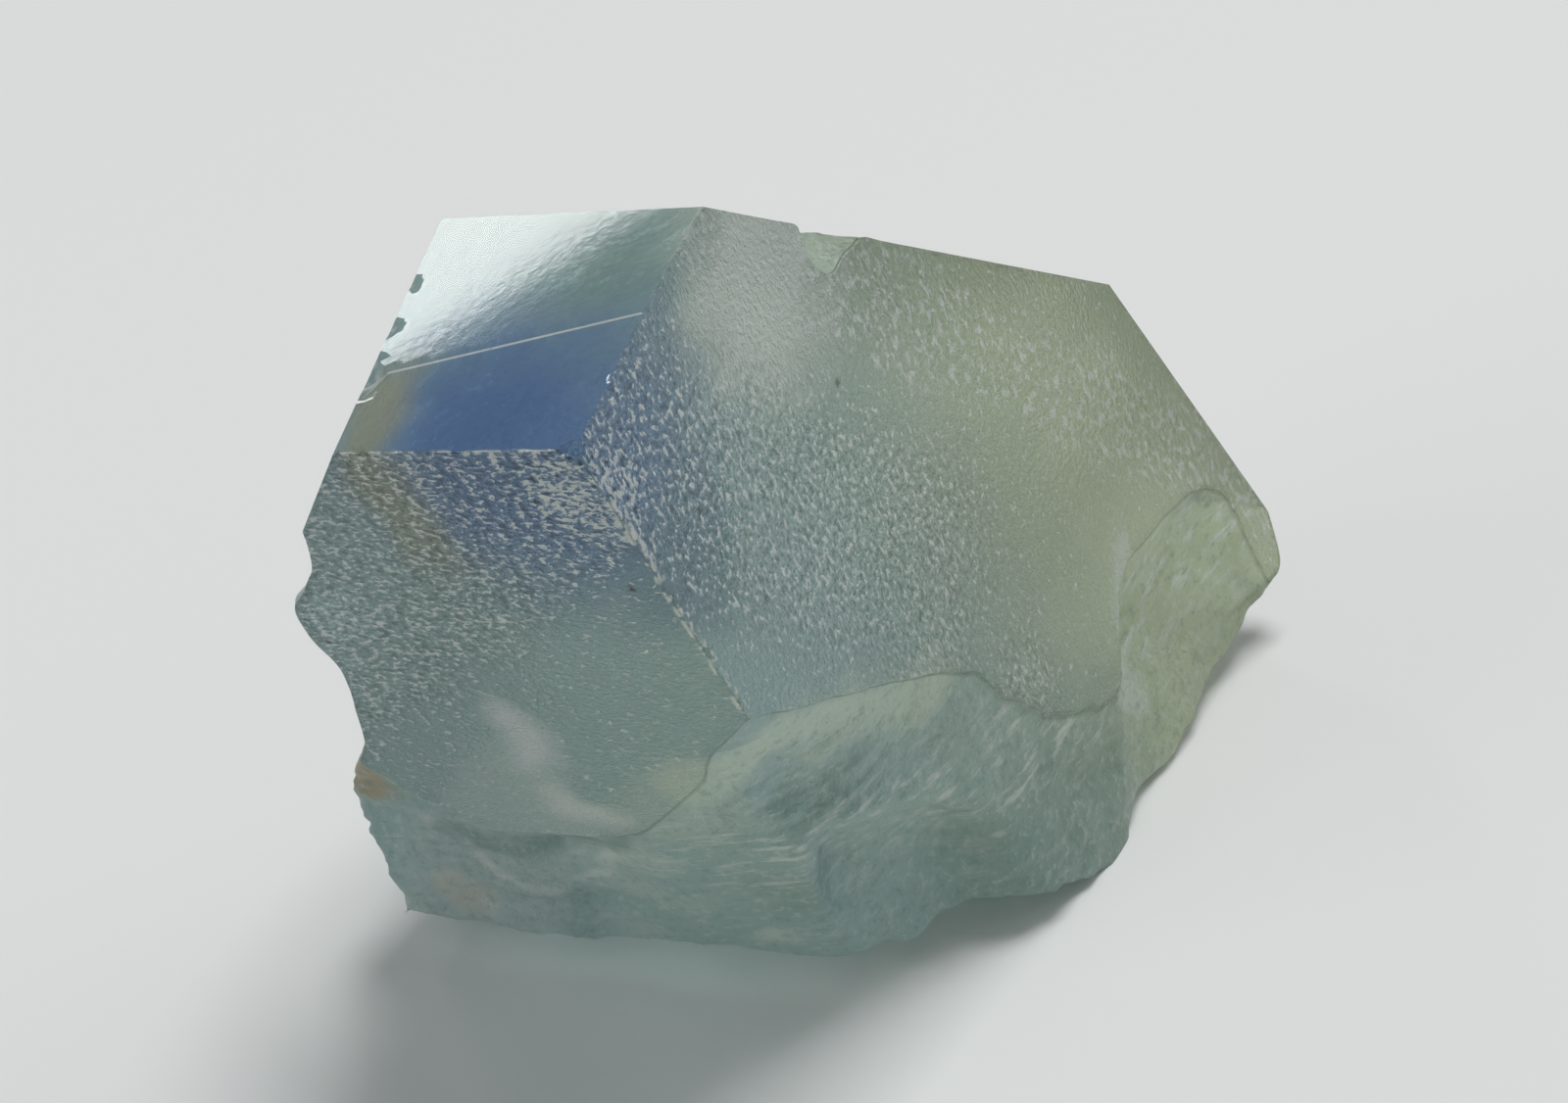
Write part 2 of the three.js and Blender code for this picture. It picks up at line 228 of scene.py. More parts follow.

# Soft bands of colour along lines, one of them painted shade: their points, and how far the colour is full
# and reaches
SOFT_BANDS = [
    {"points": [(0.0, -15.4, -21.2), (0.0, -14.8, -24.5)],
     "full": 0.0, "reach": 2.6, "color": LAVENDER, "share": 1.0},
    {"points": [(0.0, -16.0, -28.2), (0.0, -13.0, -29.0)],
     "full": 0.0, "reach": 2.0, "color": WHITE, "share": 0.9},
    {"points": [(-1.0, -26.3, -31.3), (-0.8, -24.1, -36.0), (-1.1, -21.6, -37.3), (-1.6, -17.4, -36.4),
                (-0.6, -13.2, -32.7)],
     "full": 0.2, "reach": 0.7, "color": WHITE, "share": 0.6},
    # Painted shade: the dark band under the edge of the shelf
    {"points": [(-1.0, -25.5, -32.8), (-1.2, -19.4, -33.7), (-0.5, -14.0, -32.0)],
     "full": 0.3, "reach": 1.5, "color": TEAL, "share": 0.8},
    {"points": [(-32.7, 0.0, -45.5), (-29.8, 0.0, -47.3), (-29.2, -1.3, -52.8), (-29.2, -1.5, -55.5)],
     "full": 0.3, "reach": 1.5, "color": PALE, "share": 0.6},
    {"points": [(-0.4, -7.0, -26.5), (-2.6, -1.2, -25.0), (-13.3, -0.6, -34.0)],
     "full": 0.7, "reach": 2.8, "color": PALE_GREEN, "share": 0.8},
]

# Round colour zones: their middles in the cube's axes, and how far the colour is full and reaches
ROUND_ZONES = [
    {"middle": (-1.0, -5.0, -2.0), "full": 3.0, "reach": 15.0, "color": BLUE, "share": 0.9},
    # Painted reflection: a pale glow on the upper left of the right face
    {"middle": (-18.0, 4.0, -6.0), "full": 4.5, "reach": 11.0, "color": PAINTED_GLOW, "share": 1.0},
    # Painted shade: darkens the right part of the top face, where a dark background shows through
    {"middle": (-14.0, -4.0, 3.0), "full": 3.0, "reach": 8.0, "color": TEAL, "share": 0.85},
    {"middle": (-3.0, 0.0, -11.0), "full": 1.0, "reach": 6.0, "color": SLATE, "share": 0.7},
    {"middle": (-1.1, -29.5, -28.5), "full": 1.2, "reach": 3.0, "color": BROWN, "share": 0.9},
    {"middle": (-0.7, -27.5, -38.1), "full": 1.0, "reach": 2.6, "color": BEIGE, "share": 0.8},
    {"middle": (-3.8, -11.6, -44.8), "full": 0.7, "reach": 1.9, "color": PALE, "share": 0.7},
    {"middle": (-18.5, -1.2, -54.0), "full": 5.0, "reach": 13.0, "color": DEEP_TEAL, "share": 0.55},
    {"middle": (-4.5, -3.3, -33.0), "full": 1.0, "reach": 6.0, "color": TEAL, "share": 0.5},
    # Painted shade: tones down the light that shines through a ridge of the front break
    {"middle": (-3.5, -7.0, -40.5), "full": 1.0, "reach": 5.0, "color": DEEP_TEAL, "share": 0.4},
    {"middle": (-0.5, -9.0, -29.5), "full": 1.0, "reach": 5.0, "color": PALE_GREEN, "share": 0.4},
]

# Studio
FLOOR_SIZE = 6.0
FLOOR_COLOR = (0.62, 0.63, 0.62)
FLOOR_ROUGHNESS = 0.5
ROOM_COLOR = (0.80, 0.83, 0.86)
ROOM_STRENGTH = 0.34
SOFTBOXES = [
    {"name": "back_left", "place": (-0.3028, 0.4598, 0.2878), "aim": (0.465, -0.756, -0.461), "roll": -23.0,
     "size": (0.10, 0.08), "power": 0.206},
    {"name": "back_right", "place": (0.55, 0.40, 0.35), "aim": (-0.55, -0.40, -0.33), "roll": 0.0,
     "size": (0.35, 0.30), "power": 0.9},
    {"name": "overhead", "place": (0.06, 0.10, 0.75), "aim": (-0.06, -0.10, -0.75), "roll": 0.0,
     "size": (0.32, 0.26), "power": 4.2},
    {"name": "left", "place": (-0.62, -0.38, 0.28), "aim": (0.62, 0.38, -0.26), "roll": 0.0,
     "size": (0.35, 0.35), "power": 1.2},
]


def rest_turn():
    """How the cube is turned as the stone rests."""
    return Euler([math.radians(angle) for angle in REST_ANGLES], "XYZ")


def packed_triangles():
    """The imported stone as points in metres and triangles, with each point stored once."""
    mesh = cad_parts[NODE].data
    mesh.calc_loop_triangles()
    points = np.empty(len(mesh.vertices) * 3)
    mesh.vertices.foreach_get("co", points)
    triangles = np.empty(len(mesh.loop_triangles) * 3, dtype=int)
    mesh.loop_triangles.foreach_get("vertices", triangles)
    rounded = np.round(points.reshape(-1, 3) / MM, WELD_DIGITS)
    unique, index = np.unique(rounded, axis=0, return_inverse=True)
    triangles = index.reshape(-1)[triangles].reshape(-1, 3)
    distinct = (triangles != np.roll(triangles, 1, axis=1)).all(axis=1)
    return unique * MM, triangles[distinct]


def cube_corner(points, axes):
    """Where the planes of the three grown faces meet: the whole stone lies behind each of them."""
    return np.linalg.solve(axes.T, (points @ axes).max(axis=0))


def triangle_normals(points, triangles):
    """The direction that each triangle faces, and its area."""
    a, b, c = (points[triangles[:, i]] for i in range(3))
    normals = np.cross(b - a, c - a)
    length = np.linalg.norm(normals, axis=1)
    return normals / np.maximum(length, SHORTEST)[:, None], length / 2


def flat_faces(points, triangles):
    """The number of the flat face that each triangle lies on, or -1 on a break, and the faces' normals."""
    normals, areas = triangle_normals(points, triangles)
    face_of = np.full(len(triangles), -1)
    face_normals = []
    for seed in np.argsort(-areas):
        if face_of[seed] >= 0 or areas[seed] < SEED_AREA:
            continue
        level = (points - points[triangles[seed, 0]]) @ normals[seed]
        same = (np.abs(level) < SAME_PLANE)[triangles].all(axis=1) & (face_of < 0)
        if areas[same].sum() > FLAT_AREA:
            face_of[same] = len(face_normals)
            face_normals.append(normals[seed])
    return face_of, np.array(face_normals)


def sides_of(triangles):
    return np.sort(triangles[:, [[0, 1], [1, 2], [2, 0]]].reshape(-1, 2), axis=1)


def edges_of(triangles):
    """Every edge once, and the number of the edge on each side of each triangle."""
    edges, index = np.unique(sides_of(triangles), axis=0, return_inverse=True)
    return edges, index.reshape(-1, 3)


def face_range(edges, index, face_of):
    """The lowest and the highest number of the faces that meet at each edge."""
    low = np.full(len(edges), face_of.max() + 1)
    high = np.full(len(edges), -1)
    for side in range(3):
        np.minimum.at(low, index[:, side], face_of)
        np.maximum.at(high, index[:, side], face_of)
    return low, high


def split_triangles(triangles, middles, face_of):
    """Cuts each triangle at the middles of its split sides. A middle of -1 is a side that stays whole."""
    marks = (middles >= 0).sum(axis=1)
    pieces = [(triangles[marks == 0], face_of[marks == 0])]
    for count in (1, 2, 3):
        chosen = marks == count
        wanted = middles[chosen] >= 0
        first = np.argmin(wanted, axis=1) if count == 2 else np.argmax(wanted, axis=1)
        rows = np.arange(len(first))
        a, b, c = (triangles[chosen][rows, (first + i) % 3] for i in range(3))
        ab, bc, ca = (middles[chosen][rows, (first + i) % 3] for i in range(3))
        parts = {
            1: ((a, ab, c), (ab, b, c)),
            2: ((a, b, bc), (a, bc, ca), (ca, bc, c)),
            3: ((a, ab, ca), (ab, b, bc), (ca, bc, c), (ab, bc, ca)),
        }
        for part in parts[count]:
            pieces.append((np.stack(part, axis=1), face_of[chosen]))
    return np.vstack([p[0] for p in pieces]), np.concatenate([p[1] for p in pieces])


def refined(points, triangles, face_of, etched):
    """Halves long sides until each is as short as its part of the stone asks for."""
    while True:
        edges, index = edges_of(triangles)
        low, high = face_range(edges, index, face_of)
        beside_etched = np.isin(low, etched) | np.isin(high, etched)
        longest = np.where(beside_etched, EDGE_LENGTH["outline"], EDGE_LENGTH["break"])
        longest = np.where((low == high) & (low >= 0), np.inf, longest)
        split = np.linalg.norm(points[edges[:, 0]] - points[edges[:, 1]], axis=1) > longest
        if not split.any():
            return points, triangles, face_of
        number = np.full(len(edges), -1)
        number[split] = len(points) + np.arange(split.sum())
        points = np.vstack([points, points[edges[split]].mean(axis=1)])
        triangles, face_of = split_triangles(triangles, number[index], face_of)


def inside_grid(outline, step):
    """An even grid of points over an outline, without those that nearly touch it."""
    tree = point_tree([(*place, 0.0) for place in outline])
    row_step = step * math.sqrt(3) / 2
    low, high = outline.min(axis=0), outline.max(axis=0)
    columns, rows = np.ceil((high - low) / (step, row_step)).astype(int)
    grid = []
    for row in range(rows):
        for column in range(columns):
            place = (low[0] + step * (column + row % 2 / 2), low[1] + row_step * row)
            if tree.find((*place, 0.0))[2] > GRID_MARGIN * step:
                grid.append(place)
    return np.array(grid).reshape(-1, 2)


def even_face(points, triangles, normal, step):
    """New triangles for a flat face, on an even grid inside the face's own outline."""
    sides, uses = np.unique(sides_of(triangles), axis=0, return_counts=True)
    outline = sides[uses == 1]
    ring = np.unique(outline)
    dropped = int(np.argmax(np.abs(normal)))
    flat = np.delete(points[ring], dropped, axis=1)
    inner = inside_grid(flat, step)
    places = [Vector(place) for place in np.vstack([flat, inner])]
    bounds = np.searchsorted(ring, outline).tolist()
    _, _, faces, sources, _, _ = delaunay_2d_cdt(places, bounds, [], INSIDE_OUTLINE, TOUCHING)
    numbers = np.concatenate([ring, len(points) + np.arange(len(inner))])
    made = numbers[np.array([source[0] for source in sources])][np.array(faces)]
    slope = np.delete(normal, dropped)
    height = (points[ring[0]] @ normal - inner @ slope) / normal[dropped]
    points = np.vstack([points, np.insert(inner, dropped, height, axis=1)])
    facing, _ = triangle_normals(points, made)
    back = facing @ normal < 0
    made[back] = made[back][:, ::-1]
    return points, made


def neighbour_mean(points, pairs):
    total = np.zeros_like(points)
    count = np.zeros(len(points))
    for here, there in (pairs.T, pairs.T[::-1]):
        np.add.at(total, here, points[there])
        np.add.at(count, here, 1)
    return total / np.maximum(count, 1)[:, None]


def smoothed(points, triangles, face_of):
    """Rounds the small facets of the breaks and of their edges. The flat faces stay flat."""
    edges, index = edges_of(triangles)
    low, high = face_range(edges, index, face_of)
    outline = edges[low != high]
    on_outline = np.bincount(outline.reshape(-1), minlength=len(points))
    touches = np.zeros(len(points), dtype=int)
    for face in range(face_of.max() + 1):
        touches[np.unique(triangles[face_of == face])] += 1
    line = (on_outline == 2) & (touches == 1)
    free = touches == 0
    for _ in range(SMOOTHING_ROUNDS):
        step = np.zeros_like(points)
        step[free] = (neighbour_mean(points, edges) - points)[free]
        step[line] = (neighbour_mean(points, outline) - points)[line]
        points = points + SMOOTHING_STEP * step
    return points


def point_normals(points, triangles):
    normals, areas = triangle_normals(points, triangles)
    total = np.zeros_like(points)
    for side in range(3):
        np.add.at(total, triangles[:, side], normals * areas[:, None])
    return total / np.maximum(np.linalg.norm(total, axis=1), SHORTEST)[:, None]


def hackle(place):
    """Wavy ridges that run along the ledge of the front break."""
    lengthwise = place @ LEDGE["along"] / HACKLES["along"]
    crosswise = place @ LEDGE["across"] / HACKLES["across"]
    return abs(noise.noise(Vector((lengthwise, crosswise, 0.0))))


def point_tree(points):
    tree = KDTree(len(points))
    for i, place in enumerate(points):
        tree.insert(place, i)
    tree.balance()
    return tree


def relief_on_breaks(points, triangles, face_of):
    """Swells and hackles on the breaks, which die out at the clean edges of the flat faces."""
    on_flat = np.unique(triangles[face_of >= 0])
    flat_tree = point_tree(points[on_flat])
    normals = point_normals(points, triangles)
    height = np.zeros(len(points))
    for i in np.setdiff1d(triangles[face_of < 0], on_flat):
        place = Vector(points[i]) / BREAK_RELIEF["size"]
        swell = noise.fractal(place, BREAK_RELIEF["fall"], BREAK_RELIEF["finer"], BREAK_RELIEF["octaves"])
        _, _, distance = flat_tree.find(points[i])
        share = min(1.0, distance / BREAK_RELIEF["edge"])
        height[i] = share * (BREAK_RELIEF["height"] * swell - HACKLES["height"] * hackle(points[i]))
    return points + normals * height[:, None]


def etch(points, triangles, face_of, face, axis):
    """Sinks an etched cube face into small hills that lie along its growth direction."""
    inner = np.setdiff1d(triangles[face_of == face], triangles[face_of != face])
    for i in inner:
        hills = noise.noise(Vector(points[i] / ETCH_SIZE[axis]))
        points[i, axis] += ETCH_DEPTH * (hills - 1) / 2
    return points


def chipped(points):
    """Small chips along the three cube edges: a bevel whose width comes and goes."""
    depth = -points
    for axis in range(3):
        a, b = (axis + 1) % 3, (axis + 2) % 3
        for i in np.flatnonzero((depth[:, a] + depth[:, b]) < 2 * CHIPS["most"]):
            lengthwise = depth[i, axis] / CHIPS["spacing"]
            bite = noise.noise(Vector((lengthwise, CHIPS["shift"] * axis, 0.0))) - CHIPS["threshold"]
            width = CHIPS["least"] + CHIPS["most"] * max(0.0, bite)
            short = width - depth[i, a] - depth[i, b]
            if short > 0:
                depth[i, a] += short / 2
                depth[i, b] += short / 2
    return -depth


def ramp(values, low, high):
    """0 at `low` and 1 at `high`, with a soft start and end."""
    share = np.clip((values - low) / (high - low), 0.0, 1.0)
    return share * share * (3 - 2 * share)


def band(values, middle, reach, full):
    """1 near the middle value and 0 away from it on both sides."""
    return ramp(np.abs(values - middle), reach, full)


def near(places, point, reach, full):
    return ramp(np.linalg.norm(places - point, axis=1), reach, full)


def near_line(places, points, reach, full):
    """1 on a line of straight pieces between points and 0 away from it."""
    nearest = np.full(len(places), np.inf)
    for start, end in zip(points, points[1:]):
        length = np.subtract(end, start)
        part = np.clip((places - start) @ length / (length @ length), 0.0, 1.0)
        distance = np.linalg.norm(places - start - part[:, None] * length, axis=1)
        nearest = np.minimum(nearest, distance)
    return ramp(nearest, reach, full)


def wobbled(places):
    """The places moved a little by slow noise, so that what is drawn there gets an uneven outline."""
    noise.seed_set(WOBBLE["seed"])
    shifts = [noise.noise_vector(Vector(place) / WOBBLE["size"]) for place in places]
    return places + WOBBLE["reach"] * np.array(shifts)


def tinted(colors, share, color):
    return colors + share[:, None] * (np.array(color) - colors)


def veil(places):
    """The healed crack that shows through the front face: a pale wedge that widens downwards."""
    down = VEIL["apex"][TOP] - places[:, TOP]
    aside = places[:, RIGHT] - VEIL["apex"][RIGHT]
    left = ramp(aside + VEIL["left_slope"] * down, *VEIL["left_fade"])
    right = ramp(aside - VEIL["right_slope"] * down, *VEIL["right_fade"])
    on_front = ramp(places[:, FRONT], *VEIL["depth"])
    return VEIL["share"] * left * right * ramp(down, *VEIL["down_fade"]) * on_front


def zone_colors(places):
    """The slow colour changes of the stone, among them a painted glow of reflected light and patches of
    painted shade, its veil, its soft bands of colour and the specks on it.
    """
    uneven = wobbled(places)
    x, y, z = uneven.T
    colors = tinted(np.tile(BODY, (len(places), 1)), ramp(x, *OLIVE_DEPTH), OLIVE)
    for zone in ROUND_ZONES:
        share = zone["share"] * near(uneven, zone["middle"], zone["reach"], zone["full"])
        colors = tinted(colors, share, zone["color"])
    stripe = band(y, STRIPE["middle"], STRIPE["reach"], STRIPE["full"])
    stripe *= ramp(z, *STRIPE["down"]) * ramp(x, *STRIPE["back"])
    colors = tinted(colors, STRIPE["share"] * stripe, YELLOW)
    colors = tinted(colors, veil(uneven), PALE)
    for soft_band in SOFT_BANDS:
        share = soft_band["share"] * near_line(uneven, soft_band["points"], soft_band["reach"], soft_band["full"])
        colors = tinted(colors, share, soft_band["color"])
    for point in SPECKS["points"]:
        colors = tinted(colors, near(places, point, SPECKS["reach"], SPECKS["full"]), DARK)
    return colors


def glint_and_streak_shares(places):
    """How dense the painted glints of the etching are, and how strong the lobe's blurred painted glints and
    the streaks, with their painted highlight along the ledge, are.
    """
    uneven = wobbled(places)
    aside = uneven @ ETCHING["aside"]
    right = band(aside, *ETCHING["right_band"]) * ramp(uneven @ ETCHING["ahead"], *ETCHING["right_end"])
    right = np.maximum(right, near(uneven, ETCHING["patch"], *ETCHING["patch_fade"]))
    front = ramp(uneven @ ETCHING["front_down"], *ETCHING["front_end"])
    dense = np.where(places[:, FRONT] > places[:, RIGHT], front, right)
    dense += ETCHING["corner_share"] * near(uneven, ETCHING["corner"], *ETCHING["corner_fade"])
    lobe = ETCHING["lobe_share"] * band(aside, *ETCHING["lobe_band"])
    in_front = ramp(np.maximum(places[:, FRONT], places[:, RIGHT]), *STREAKS["depth"])
    in_front *= ramp(places[:, RIGHT], *STREAKS["side"])
    # The band along the ledge is a painted highlight: the streaks are strongest there
    ledge = in_front * band(uneven @ STREAKS["down"], *STREAKS["ledge_highlight_band"])
    streaks = STREAKS["share"] + (STREAKS["ledge_highlight_share"] - STREAKS["share"]) * ledge
    return np.column_stack([dense, lobe, streaks])


def detailed(places, triangles):
    """The stone in fine triangles, with relief on its breaks, etched faces and chipped edges."""
    face_of, face_normals = flat_faces(places, triangles)
    cube_face = {axis: int(np.argmax(face_normals[:, axis])) for axis in (FRONT, RIGHT)}
    etched = list(cube_face.values())
    places, triangles, face_of = refined(places, triangles, face_of, etched)
    places = smoothed(places, triangles, face_of)
    places = relief_on_breaks(places, triangles, face_of)
    for face, normal in enumerate(face_normals):
        step = GRID_STEP["etched"] if face in etched else GRID_STEP["smooth"]
        places, made = even_face(places, triangles[face_of == face], normal, step)
        triangles = np.vstack([triangles[face_of != face], made])
        face_of = np.concatenate([face_of[face_of != face], np.full(len(made), face)])
    for axis, face in cube_face.items():
        places = etch(places, triangles, face_of, face, axis)
    places = chipped(places)
    used, triangles = np.unique(triangles, return_inverse=True)
    return places[used], triangles.reshape(-1, 3)


def add_layers(mesh, places):
    """Stores the colours and the shares of painted glints and streaks of each point in the mesh."""
    opaque = np.ones((len(places), 1))
    colors = mesh.attributes.new(COLOR_LAYER, "FLOAT_COLOR", "POINT")
    colors.data.foreach_set("color", np.hstack([zone_colors(places), opaque]).reshape(-1))
    shares = mesh.attributes.new(GLINT_AND_STREAK_LAYER, "FLOAT_VECTOR", "POINT")
    shares.data.foreach_set("vector", glint_and_streak_shares(places).reshape(-1))


def stone_mesh(axes, corner, points, triangles):
    places, triangles = detailed((points - corner) @ axes / MM, triangles)
    mesh = bpy.data.meshes.new("fluorite")
    mesh.from_pydata((places * MM @ axes.T + corner).tolist(), [], triangles.tolist())
    add_layers(mesh, places)
    mesh.polygons.foreach_set("use_smooth", np.ones(len(mesh.polygons), dtype=bool))
    mesh.set_sharp_from_angle(angle=math.radians(SHARP_ANGLE))
    mesh.update()
    return mesh


def node(tree, kind, inputs, output=0, **settings):
    """Adds a shader node. An input is a socket to link or a value to set."""
    made = tree.nodes.new(kind)
    for name, value in settings.items():
        setattr(made, name, value)
    for key, value in inputs.items():
        if isinstance(value, bpy.types.NodeSocket):
            tree.links.new(value, made.inputs[key])
        else:
            made.inputs[key].default_value = value
    return made.outputs[output]


def calc(tree, operation, a, b=0.0):
    return node(tree, "ShaderNodeMath", {0: a, 1: b}, operation=operation)


def product(tree, first, *others):
    for other in others:
        first = calc(tree, "MULTIPLY", first, other)
    return first


def fade(tree, value, low, high):
    """0 at `low` and 1 at `high`, with a soft start and end."""
    inputs = {"Value": value, "From Min": low, "From Max": high}
    return node(tree, "ShaderNodeMapRange", inputs, interpolation_type="SMOOTHSTEP")


def mixed(tree, kind, share, a, b):
    first, second, output = MIX_SOCKETS[kind]
    return node(tree, "ShaderNodeMix", {0: share, first: a, second: b}, output=output, data_type=kind)


def mix(tree, share, a, b):
    """Goes from one colour to another."""
    def color(value):
        return value if isinstance(value, bpy.types.NodeSocket) else (*value, 1.0)
    return mixed(tree, "RGBA", share, color(a), color(b))


def blend(tree, share, a, b):
    """Goes from one number to another."""
    return mixed(tree, "FLOAT", share, a, b)


def cloud(tree, place, detail, roughness):
    """Noise with about one grain to each unit of the place."""
    inputs = {"Vector": place, "Scale": 1.0, "Detail": detail, "Roughness": roughness}
    return node(tree, "ShaderNodeTexNoise", inputs)


def along(tree, place, direction):
    inputs = {0: place, 1: direction}
    return node(tree, "ShaderNodeVectorMath", inputs, output="Value", operation="DOT_PRODUCT")


def stretched(tree, place, factors):
    return node(tree, "ShaderNodeVectorMath", {0: place, 1: factors}, operation="MULTIPLY")


def cube_place(tree, corner):
    """The place on the stone in millimetres along the cube's own axes."""
    here = node(tree, "ShaderNodeTexCoord", {}, output="Object")
    inputs = {"Vector": here, "Location": corner, "Rotation": rest_turn(), "Scale": (MM, MM, MM)}
    return node(tree, "ShaderNodeMapping", inputs, vector_type="TEXTURE")


def away_from_line(tree, place, start, end):
    """Distance from the straight line between two points."""
    reach = Vector(end) - Vector(start)
    direction = tuple(reach.normalized())
    from_start = node(tree, "ShaderNodeVectorMath", {0: place, 1: start}, operation="SUBTRACT")
    inputs = {"Value": along(tree, from_start, direction), "Min": 0.0, "Max": reach.length}
    length = node(tree, "ShaderNodeClamp", inputs)
    nearest = node(tree, "ShaderNodeVectorMath", {0: direction, "Scale": length}, operation="SCALE")
    inputs = {0: from_start, 1: nearest}
    return node(tree, "ShaderNodeVectorMath", inputs, output="Value", operation="DISTANCE")


def coordinates(tree, place):
    parts = tree.nodes.new("ShaderNodeSeparateXYZ")
    tree.links.new(place, parts.inputs[0])
    return parts.outputs


def face_masks(tree, place):
    """1 on the grown top, front and right faces and on the breaks, each in turn, and 0 elsewhere."""
    x, y, z = coordinates(tree, place)
    front = fade(tree, x, *FACE_DEPTH["etched"])
    right = fade(tree, y, *FACE_DEPTH["etched"])
    not_etched = calc(tree, "SUBTRACT", 1.0, calc(tree, "MAXIMUM", front, right))
    top = product(tree, fade(tree, z, *FACE_DEPTH["top"]), not_etched)
    return {"front": front, "right": right, "top": top, "break": calc(tree, "SUBTRACT", not_etched, top)}


def face_grain(tree, place, on):
    """Fine noise that is drawn out along the growth of each etched face."""
    factors = GRAIN["break"]
    for face in ("front", "right"):
        factors = mixed(tree, "VECTOR", on[face], factors, GRAIN[face])
    return cloud(tree, stretched(tree, place, factors), **GRAIN["noise"])


def line_colors(tree, place, coarse, color):
    """Thin growth lines and chipped edges; the white along the upright edge is a painted glint of its chips.
    """
    for line in LINES:
        distance = away_from_line(tree, place, line["start"], line["end"])
        drawn = fade(tree, distance, line["reach"], line["full"])
        shown = fade(tree, coarse, line["gaps"], line["gaps"] + GAP_FADE)
        color = mix(tree, product(tree, drawn, shown, line["share"]), color, WHITE)
    return color


def etch_glints_and_shade(tree, on, rough, fine, coarse, color):
    """Painted glints as white flecks and painted shade in the dark gaps where the etching is rough, and
    larger blurred painted glints on the lobe.
    """
    level = calc(tree, "ADD", fine, product(tree, rough["dense"], PAINTED_GLINTS["dense_gain"]))
    level = calc(tree, "ADD", level, product(tree, coarse, PAINTED_GLINTS["coarse_gain"]))
    etched = calc(tree, "MAXIMUM", on["front"], on["right"])
    # Dark gaps: painted shade between the etch hills
    gaps = fade(tree, level, *PAINTED_GLINTS["gap_levels"])
    color = mix(tree, product(tree, gaps, rough["dense"], etched, PAINTED_GLINTS["gap_share"]), color, DARK)
    # White flecks: painted glints of the etch hills
    glint_mask = fade(tree, level, *PAINTED_GLINTS["levels"])
    color = mix(tree, product(tree, glint_mask, etched), color, WHITE)
    # Larger blurred painted glints on the lobe
    blurred = product(tree, fade(tree, coarse, *PAINTED_GLINTS["lobe_levels"]), on["right"], rough["lobe"])
    return mix(tree, blurred, color, WHITE)


def break_streaks(tree, place, on_break, share):
    """Pale streaks along the hackles of the breaks."""
    lengthwise = along(tree, place, tuple(np.divide(LEDGE["along"], STREAKS["along"])))
    crosswise = along(tree, place, tuple(np.divide(LEDGE["across"], STREAKS["across"])))
    drawn = node(tree, "ShaderNodeCombineXYZ", {0: lengthwise, 1: crosswise})
    streak = fade(tree, cloud(tree, drawn, **STREAKS["noise"]), *STREAKS["levels"])
    return product(tree, streak, on_break, share)


def break_crumbs(tree, fine, on_break, color):
    """Small pale and dark crumbs all over the breaks."""
    share = product(tree, on_break, CRUMBS["share"])
    pale = product(tree, fade(tree, fine, *CRUMBS["pale_levels"]), share)
    dark = product(tree, fade(tree, fine, *CRUMBS["dark_levels"]), share)
    return mix(tree, dark, mix(tree, pale, color, PALE), DEEP_TEAL)


def fluorite(corner):
    material = bpy.data.materials.new("fluorite")
    material.use_nodes = True
    tree = material.node_tree
    shader = tree.nodes["Principled BSDF"]
    place = cube_place(tree, corner)
    on = face_masks(tree, place)
    roughs = node(tree, "ShaderNodeAttribute", {}, output="Vector", attribute_name=GLINT_AND_STREAK_LAYER)
    rough = dict(zip(("dense", "lobe", "streaks"), coordinates(tree, roughs)))
    fine = face_grain(tree, place, on)
    coarse = cloud(tree, stretched(tree, place, COARSE_GRAIN["size"]), **COARSE_GRAIN["noise"])

    color = node(tree, "ShaderNodeAttribute", {}, attribute_name=COLOR_LAYER)
    color = break_crumbs(tree, fine, on["break"], color)
    # Pale streaks on the breaks, stronger along the ledge as a painted highlight
    color = mix(tree, break_streaks(tree, place, on["break"], rough["streaks"]), color, PALE)
    color = line_colors(tree, place, coarse, color)
    # Painted glints and painted shade on the etched faces
    color = etch_glints_and_shade(tree, on, rough, fine, coarse, color)

    strength = blend(tree, on["break"], BUMP["etched"], BUMP["break"])
    strength = blend(tree, on["top"], strength, BUMP["top"])
    inputs = {"Strength": strength, "Distance": BUMP["distance"], "Height": fine}
    normal = node(tree, "ShaderNodeBump", inputs)
    roughness = blend(tree, on["break"], ROUGHNESS["etched"], ROUGHNESS["break"])
    roughness = blend(tree, on["top"], roughness, ROUGHNESS["top"])

    tree.links.new(color, shader.inputs["Base Color"])
    tree.links.new(roughness, shader.inputs["Roughness"])
    tree.links.new(normal, shader.inputs["Normal"])
    shader.inputs["IOR"].default_value = IOR
    shader.inputs["Transmission Weight"].default_value = TRANSMISSION

    volume = tree.nodes.new("ShaderNodeVolumeAbsorption")
    volume.inputs["Color"].default_value = ABSORPTION["color"]
    volume.inputs["Density"].default_value = ABSORPTION["density"]
    output = tree.nodes["Material Output"]
    tree.links.new(volume.outputs["Volume"], output.inputs["Volume"])
    return material


def add_object(name, mesh, material):
    made = bpy.data.objects.new(name, mesh)
    bpy.context.scene.collection.objects.link(made)
    mesh.materials.append(material)
    return made


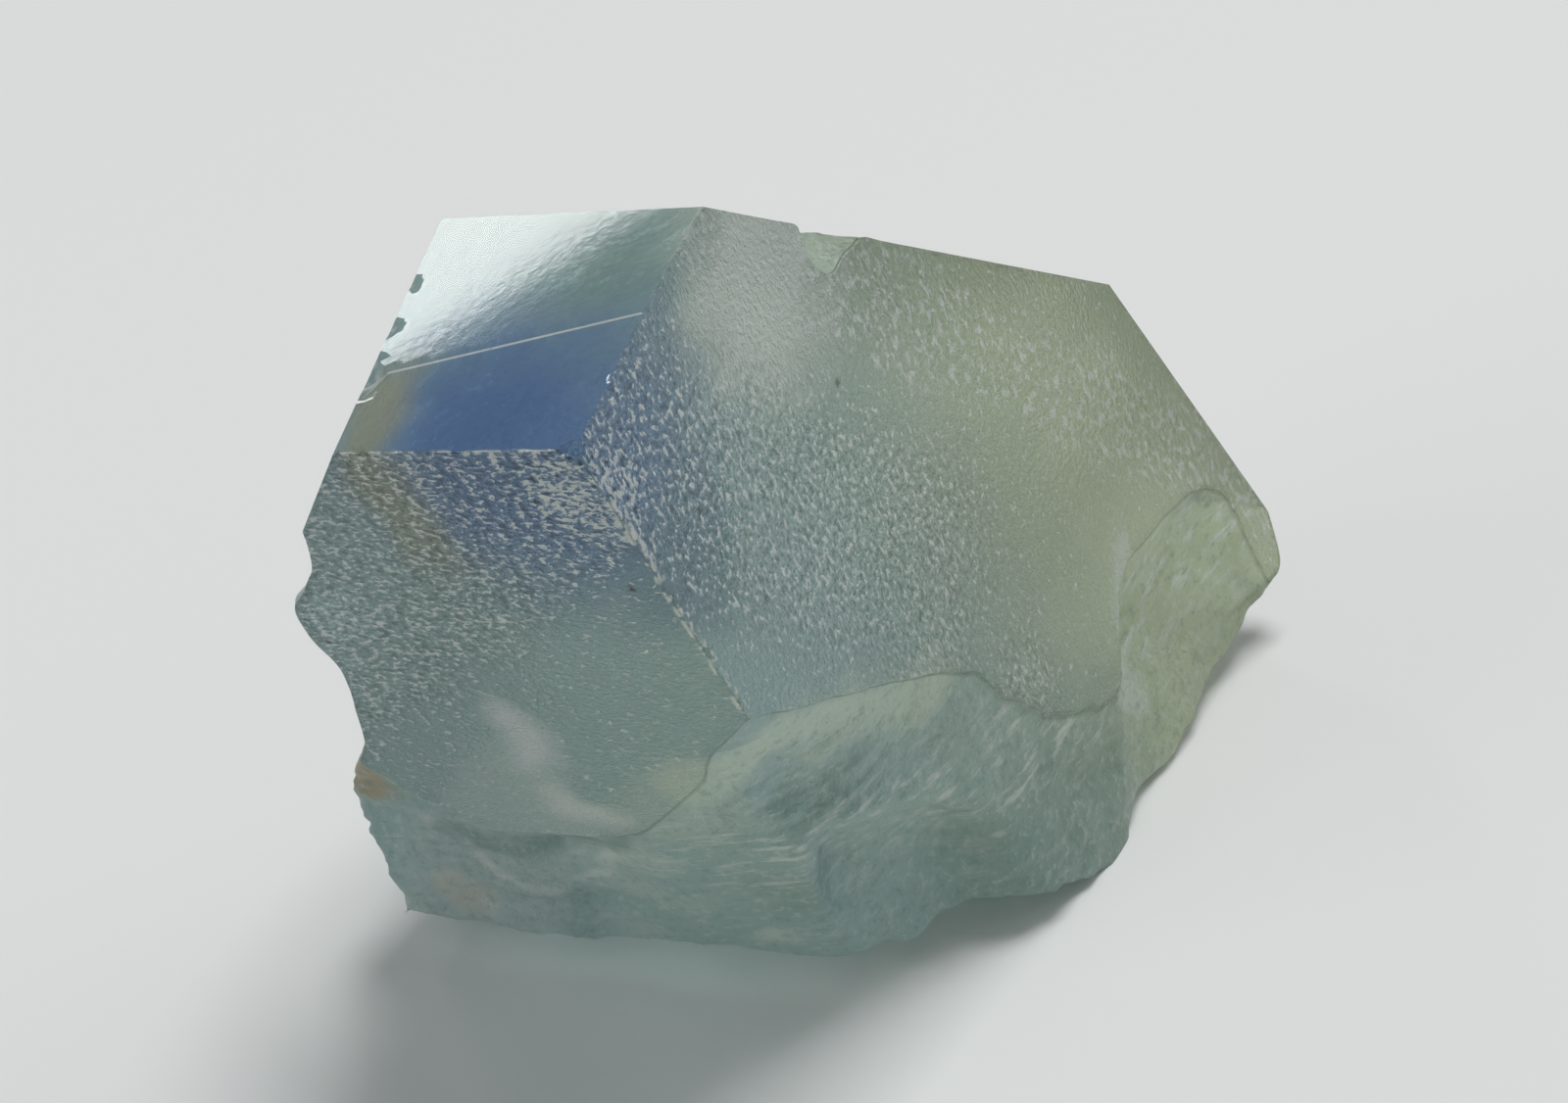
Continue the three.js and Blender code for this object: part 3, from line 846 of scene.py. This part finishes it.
def plain_material(name, color, roughness):
    material = bpy.data.materials.new(name)
    material.use_nodes = True
    shader = material.node_tree.nodes["Principled BSDF"]
    shader.inputs["Base Color"].default_value = (*color, 1.0)
    shader.inputs["Roughness"].default_value = roughness
    return material


def floor():
    half = FLOOR_SIZE / 2
    mesh = bpy.data.meshes.new("floor")
    corners = [(-half, -half, 0), (half, -half, 0), (half, half, 0), (-half, half, 0)]
    mesh.from_pydata(corners, [], [(0, 1, 2, 3)])
    add_object("floor", mesh, plain_material("floor", FLOOR_COLOR, FLOOR_ROUGHNESS))


def softbox(name, place, aim, roll, size, power):
    light = bpy.data.lights.new(name, "AREA")
    light.shape = "RECTANGLE"
    light.size, light.size_y = size
    light.energy = power
    made = bpy.data.objects.new(name, light)
    made.location = place
    turn = Vector(aim).to_track_quat("-Z", "Y") @ Quaternion((0, 0, 1), math.radians(roll))
    made.rotation_euler = turn.to_euler()
    bpy.context.scene.collection.objects.link(made)


def studio():
    floor()
    world = bpy.data.worlds.new("room")
    world.use_nodes = True
    background = world.node_tree.nodes["Background"]
    background.inputs["Color"].default_value = (*ROOM_COLOR, 1.0)
    background.inputs["Strength"].default_value = ROOM_STRENGTH
    bpy.context.scene.world = world
    for settings in SOFTBOXES:
        softbox(**settings)


def camera(corner):
    elevation = math.radians(VIEW_ELEVATION)
    right = Vector((1, 0, 0))
    up = Vector((0, math.sin(elevation), math.cos(elevation)))
    back = Vector((0, -math.cos(elevation), math.sin(elevation)))
    data = bpy.data.cameras.new("camera")
    data.lens = LENS
    data.sensor_width = SENSOR
    data.clip_start = NEAREST
    made = bpy.data.objects.new("camera", data)
    made.location = Vector(corner) - right * CORNER_RIGHT - up * CORNER_UP + back * CORNER_DISTANCE
    made.rotation_euler = (math.pi / 2 - elevation, 0, 0)
    bpy.context.scene.collection.objects.link(made)
    bpy.context.scene.camera = made


def main():
    axes = np.array(rest_turn().to_matrix())
    points, triangles = packed_triangles()
    corner = cube_corner(points, axes)
    stone = add_object("crystal", stone_mesh(axes, corner, points, triangles), fluorite(corner))
    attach(stone, "root")
    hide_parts(NODE)
    studio()
    camera(corner)
    bpy.context.scene.view_settings.view_transform = "Standard"


main()
